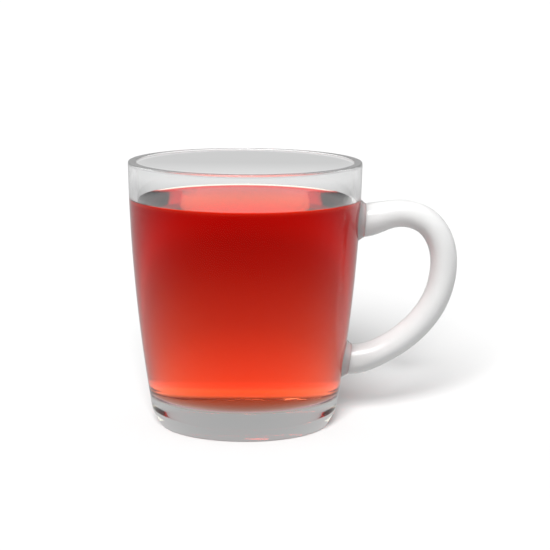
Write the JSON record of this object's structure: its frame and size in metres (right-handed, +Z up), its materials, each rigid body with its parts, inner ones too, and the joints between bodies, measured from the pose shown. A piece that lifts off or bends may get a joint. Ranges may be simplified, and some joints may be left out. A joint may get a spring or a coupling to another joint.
{
  "type": "glass mug of tea",
  "caption": "Clear tapered glass mug with a thick bottom and a white glass handle, filled with red tea to just below the lip.",
  "frame": {"origin": "centre of the mug's underside, on the mug's axis", "axes": "+Z up along the mug's axis, +X towards the handle, +Y to the far side when the handle is on the right"},
  "size_m": [0.113, 0.08, 0.0915],
  "materials": {
    "clear_glass": "clear polished glass",
    "tea": "clear red tea",
    "white_glass": "glossy opal white glass"
  },
  "bodies": {
    "root": {"glass_body": "clear_glass", "tea": "tea", "handle": "white_glass"}
  },
  "joints": []
}
